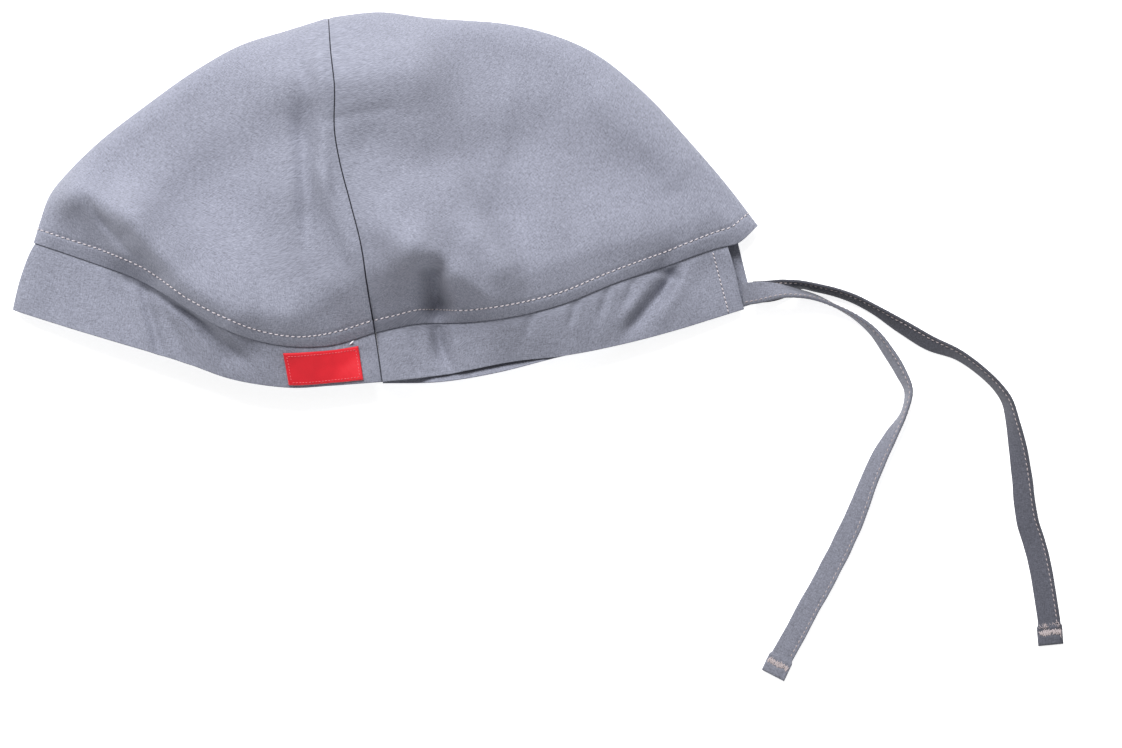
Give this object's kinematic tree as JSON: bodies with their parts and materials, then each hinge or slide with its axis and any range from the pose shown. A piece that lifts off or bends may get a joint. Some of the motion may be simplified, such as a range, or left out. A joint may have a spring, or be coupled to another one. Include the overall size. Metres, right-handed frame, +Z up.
{
  "type": "skull cap with ties",
  "caption": "Soft cloth skull cap lying on its side, with a gored crown, a stitched band, an open back and two flat ties.",
  "frame": {"origin": "bottom centre of the cap without its ties, on the surface that it lies on", "axes": "+Z up, +Y towards the crown's top, -Y towards the mouth, -X towards the front, +X towards the open back and the ties"},
  "size_m": [0.4037, 0.2572, 0.0437],
  "materials": {
    "crown_cloth": "matte woven cotton blend, blue grey",
    "band_cloth": "matte woven cotton blend, blue grey, doubled",
    "label_cloth": "plain red woven patch with a sewn border",
    "tie_cloth": "matte woven cotton blend, folded and stitched along one edge"
  },
  "bodies": {
    "root": {"crown_front_left": "crown_cloth", "crown_front_right": "crown_cloth", "crown_rear_left": "crown_cloth", "crown_rear_right": "crown_cloth", "band_front": "band_cloth", "band_rear_left": "band_cloth", "band_rear_right": "band_cloth", "label": "label_cloth", "tie_left": "tie_cloth", "tie_right": "tie_cloth"}
  },
  "joints": []
}
